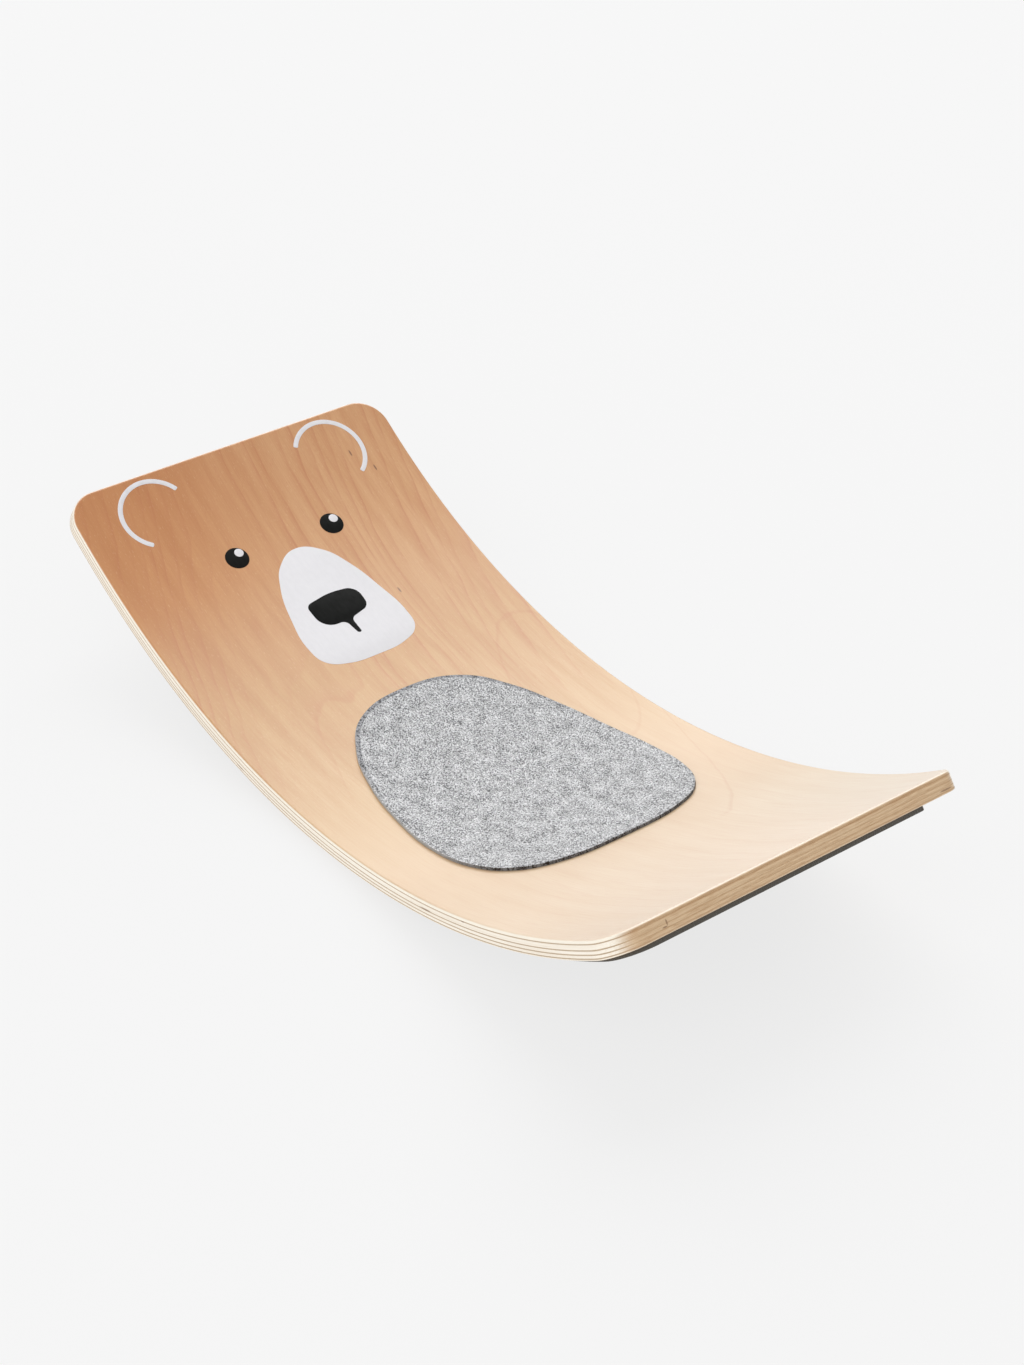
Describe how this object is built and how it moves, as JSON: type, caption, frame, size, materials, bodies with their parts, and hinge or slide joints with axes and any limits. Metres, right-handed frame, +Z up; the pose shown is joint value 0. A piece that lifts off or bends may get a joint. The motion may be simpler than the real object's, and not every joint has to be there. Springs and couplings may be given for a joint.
{
  "type": "balance board",
  "caption": "Curved plywood balance board for a child, with a bear's face, a grey felt belly patch to stand on and a dark felt sole.",
  "frame": {"origin": "on the floor under the middle of the board, where it touches the floor when it rests level", "axes": "+X along the board from the bear's head to the other end, +Y across the board, +Z up"},
  "size_m": [0.7038, 0.3, 0.1306],
  "materials": {
    "face_ply": "pale hardwood face veneer under a clear satin lacquer",
    "core_ply": "sanded veneer edge, grain along the board, clear lacquer",
    "cross_ply": "sanded end grain of thin cross veneers with their glue lines",
    "back_ply": "pale hardwood back veneer, clear lacquer",
    "adhesive": "double-sided adhesive film",
    "grey_felt": "mottled light grey pressed felt",
    "charcoal_felt": "dark grey pressed felt",
    "white_paint": "screen-printed ink, satin",
    "black_paint": "screen-printed ink, satin"
  },
  "bodies": {
    "root": {"back_veneer": "back_ply", "belly_adhesive": "adhesive", "belly_felt": "grey_felt", "core_veneer_1": "core_ply", "core_veneer_2": "core_ply", "core_veneer_3": "core_ply", "cross_veneer_1": "cross_ply", "cross_veneer_2": "cross_ply", "cross_veneer_3": "cross_ply", "cross_veneer_4": "cross_ply", "ear_left": "white_paint", "ear_right": "white_paint", "eye_glint_left": "white_paint", "eye_glint_right": "white_paint", "eye_left": "black_paint", "eye_right": "black_paint", "face_veneer": "face_ply", "muzzle": "white_paint", "nose": "black_paint", "sole_adhesive": "adhesive", "sole_felt": "charcoal_felt"}
  },
  "joints": []
}
